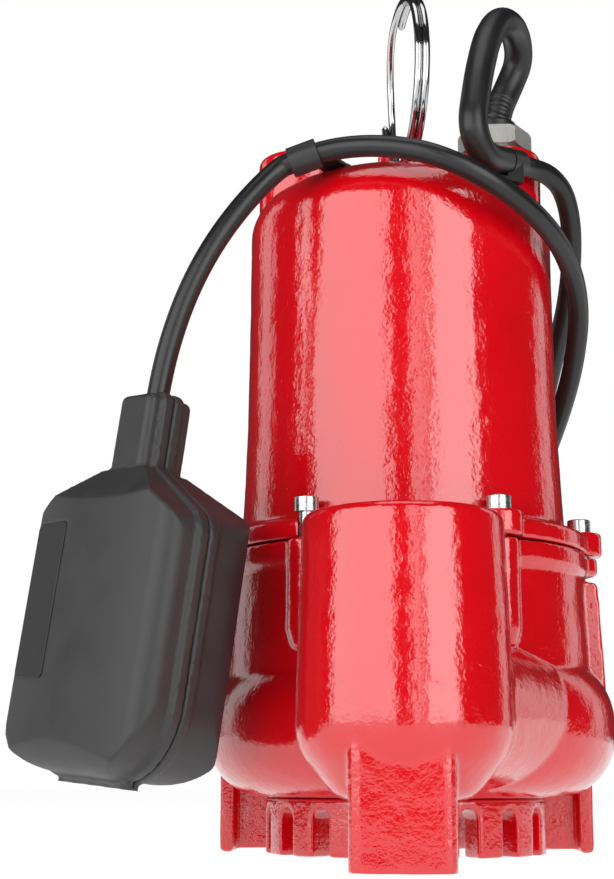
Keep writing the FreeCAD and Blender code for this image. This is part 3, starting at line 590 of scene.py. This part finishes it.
def on_panel(x, y, z):
    """A point of the label panel's frame, in millimetres, in the object's frame."""
    middle_x, middle_y, middle_z = PANEL_MIDDLE
    cosine, sine = math.cos(PANEL_LEAN), math.sin(PANEL_LEAN)
    return in_float(middle_x + x * cosine - y * sine, middle_y + x * sine + y * cosine,
                    middle_z + z)


def make_float():
    """The float's two half shells and the blank label panel let into the front one."""
    for side in ("front", "back"):
        shell = moulded_copy("float_%s_skin" % side, "float_%s_shell" % side, FLOAT_VOXEL, 3,
                             FLOAT_SKIN)
        dress(shell, "float_plastic")
        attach(shell, "float")
    panel = rounded_plate("float_label_panel", *PANEL_SIZE, PANEL_CORNER, PANEL_BEVEL, on_panel)
    dress(panel, "label_plastic")
    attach(panel, "float")


make_float()

# ------------------------------------------------------------ lifting ring ----

RING_RADIUS = 40 * MM
RING_WIRE = 1.75 * MM
RING_CENTRE = Vector((3, 10, 353)) * MM
RING_TURN = math.radians(11.5)
RING_STEPS = 260
RING_START = 96
RING_SWEEP = 648
LANE_CHANGE = (382, 458)
LANE_SPACING = 1.02
RING_END = 1.2 * MM


def make_split_ring():
    """Almost two turns of wire side by side, in degrees round from the top.

    Half way along, the wire changes lane from one side to the other.
    """
    across = Vector((math.cos(RING_TURN), math.sin(RING_TURN), 0))
    level = Vector((-math.sin(RING_TURN), math.cos(RING_TURN), 0))
    up = Vector((0, 0, 1))
    path = []
    change_start, change_end = LANE_CHANGE
    for k in range(RING_STEPS + 1):
        degrees = RING_START + RING_SWEEP * k / RING_STEPS
        share = min(max((degrees - change_start) / (change_end - change_start), 0), 1)
        share = share * share * (3 - 2 * share)
        lane = (share * 2 - 1) * RING_WIRE * LANE_SPACING
        angle = math.radians(degrees)
        path.append(RING_CENTRE + across * lane
                    + (up * math.cos(angle) + level * math.sin(angle)) * RING_RADIUS)
    whole = path_length(path)

    def radius_at(done):
        edge = min(done, whole - done, RING_END) / RING_END
        return RING_WIRE * math.sqrt(max(0.12, 1 - (1 - edge) ** 2))

    ring = tube_mesh("split_ring", path, radius_at, 20)
    dress(ring, "polished_steel")
    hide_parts("handle_ring")
    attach(ring, "handle")


make_split_ring()

# ------------------------------------------------------------------ stage ----

FLOOR_REACH = 5.0
FLOOR_GLOW = 0.97
ROOM_GLOW = 0.03
STAND_REACH = 1.3
STAND_HEIGHT = 1.1
STAND_FOOT = 0.05


def make_floor():
    """A wide disc that glows evenly, so that it looks white with hardly a shadow."""
    mesh = bmesh.new()
    bmesh.ops.create_circle(mesh, cap_ends=True, segments=96, radius=FLOOR_REACH)
    floor = finish_mesh("floor", mesh, 60)
    material, tree, shader = new_material("floor_white")
    shader.inputs["Base Color"].default_value = (0.10, 0.10, 0.10, 1)
    shader.inputs["Roughness"].default_value = 0.6
    shader.inputs["Emission Color"].default_value = (1, 1, 1, 1)
    shader.inputs["Emission Strength"].default_value = FLOOR_GLOW
    floor.data.materials.append(material)


make_floor()


def softbox(name, place, target, wide, high, glow):
    """A lit panel that the camera doesn't see, its brightness given as radiance."""
    data = bpy.data.lights.new(name, "AREA")
    data.shape = "RECTANGLE"
    data.size = wide
    data.size_y = high
    data.energy = glow * math.pi * wide * high
    light = bpy.data.objects.new(name, data)
    scene.collection.objects.link(light)
    light.location = place
    aim = Vector(target) - Vector(place)
    light.rotation_euler = aim.to_track_quat("-Z", "Y").to_euler()
    light.visible_camera = False


def wall_box(name, start, end, glow):
    """A standing panel that spans two bearings, in degrees round from the front."""
    bearing = math.radians((start + end) / 2)
    half = math.radians((end - start) / 2)
    middle = STAND_HEIGHT / 2 + STAND_FOOT
    place = (STAND_REACH * math.sin(bearing), -STAND_REACH * math.cos(bearing), middle)
    wide = 2 * STAND_REACH * math.tan(half)
    softbox(name, place, (0, 0, middle), wide, STAND_HEIGHT, glow)


def make_world():
    """White all round for the camera, a dim room for the light that the object gets."""
    world = bpy.data.worlds.new("studio")
    scene.world = world
    world.use_nodes = True
    tree = world.node_tree
    seen = tree.nodes["Background"]
    seen.inputs["Color"].default_value = (1, 1, 1, 1)
    seen.inputs["Strength"].default_value = 1.0
    room = add(tree, "ShaderNodeBackground", {"Color": (1, 1, 1, 1), "Strength": ROOM_GLOW})
    ray = add(tree, "ShaderNodeLightPath")
    mix = add(tree, "ShaderNodeMixShader")
    join(tree, ray.outputs["Is Camera Ray"], mix.inputs[0])
    join(tree, room.outputs[0], mix.inputs[1])
    join(tree, seen.outputs[0], mix.inputs[2])
    join(tree, mix.outputs[0], tree.nodes["World Output"].inputs["Surface"])


make_world()
wall_box("far_left_panel", -128, -110, 0.9)
wall_box("wide_left_panel", -78, -8, 2.6)
wall_box("slim_front_panel", 7, 17, 2.1)
wall_box("right_panel", 21, 55, 3.4)
wall_box("far_right_panel", 117, 134, 0.8)
softbox("top_box", (0.0, -0.2, 1.7), (0, 0, 0.2), 1.0, 1.0, 1.5)

scene.view_settings.view_transform = "Standard"
scene.view_settings.look = "None"
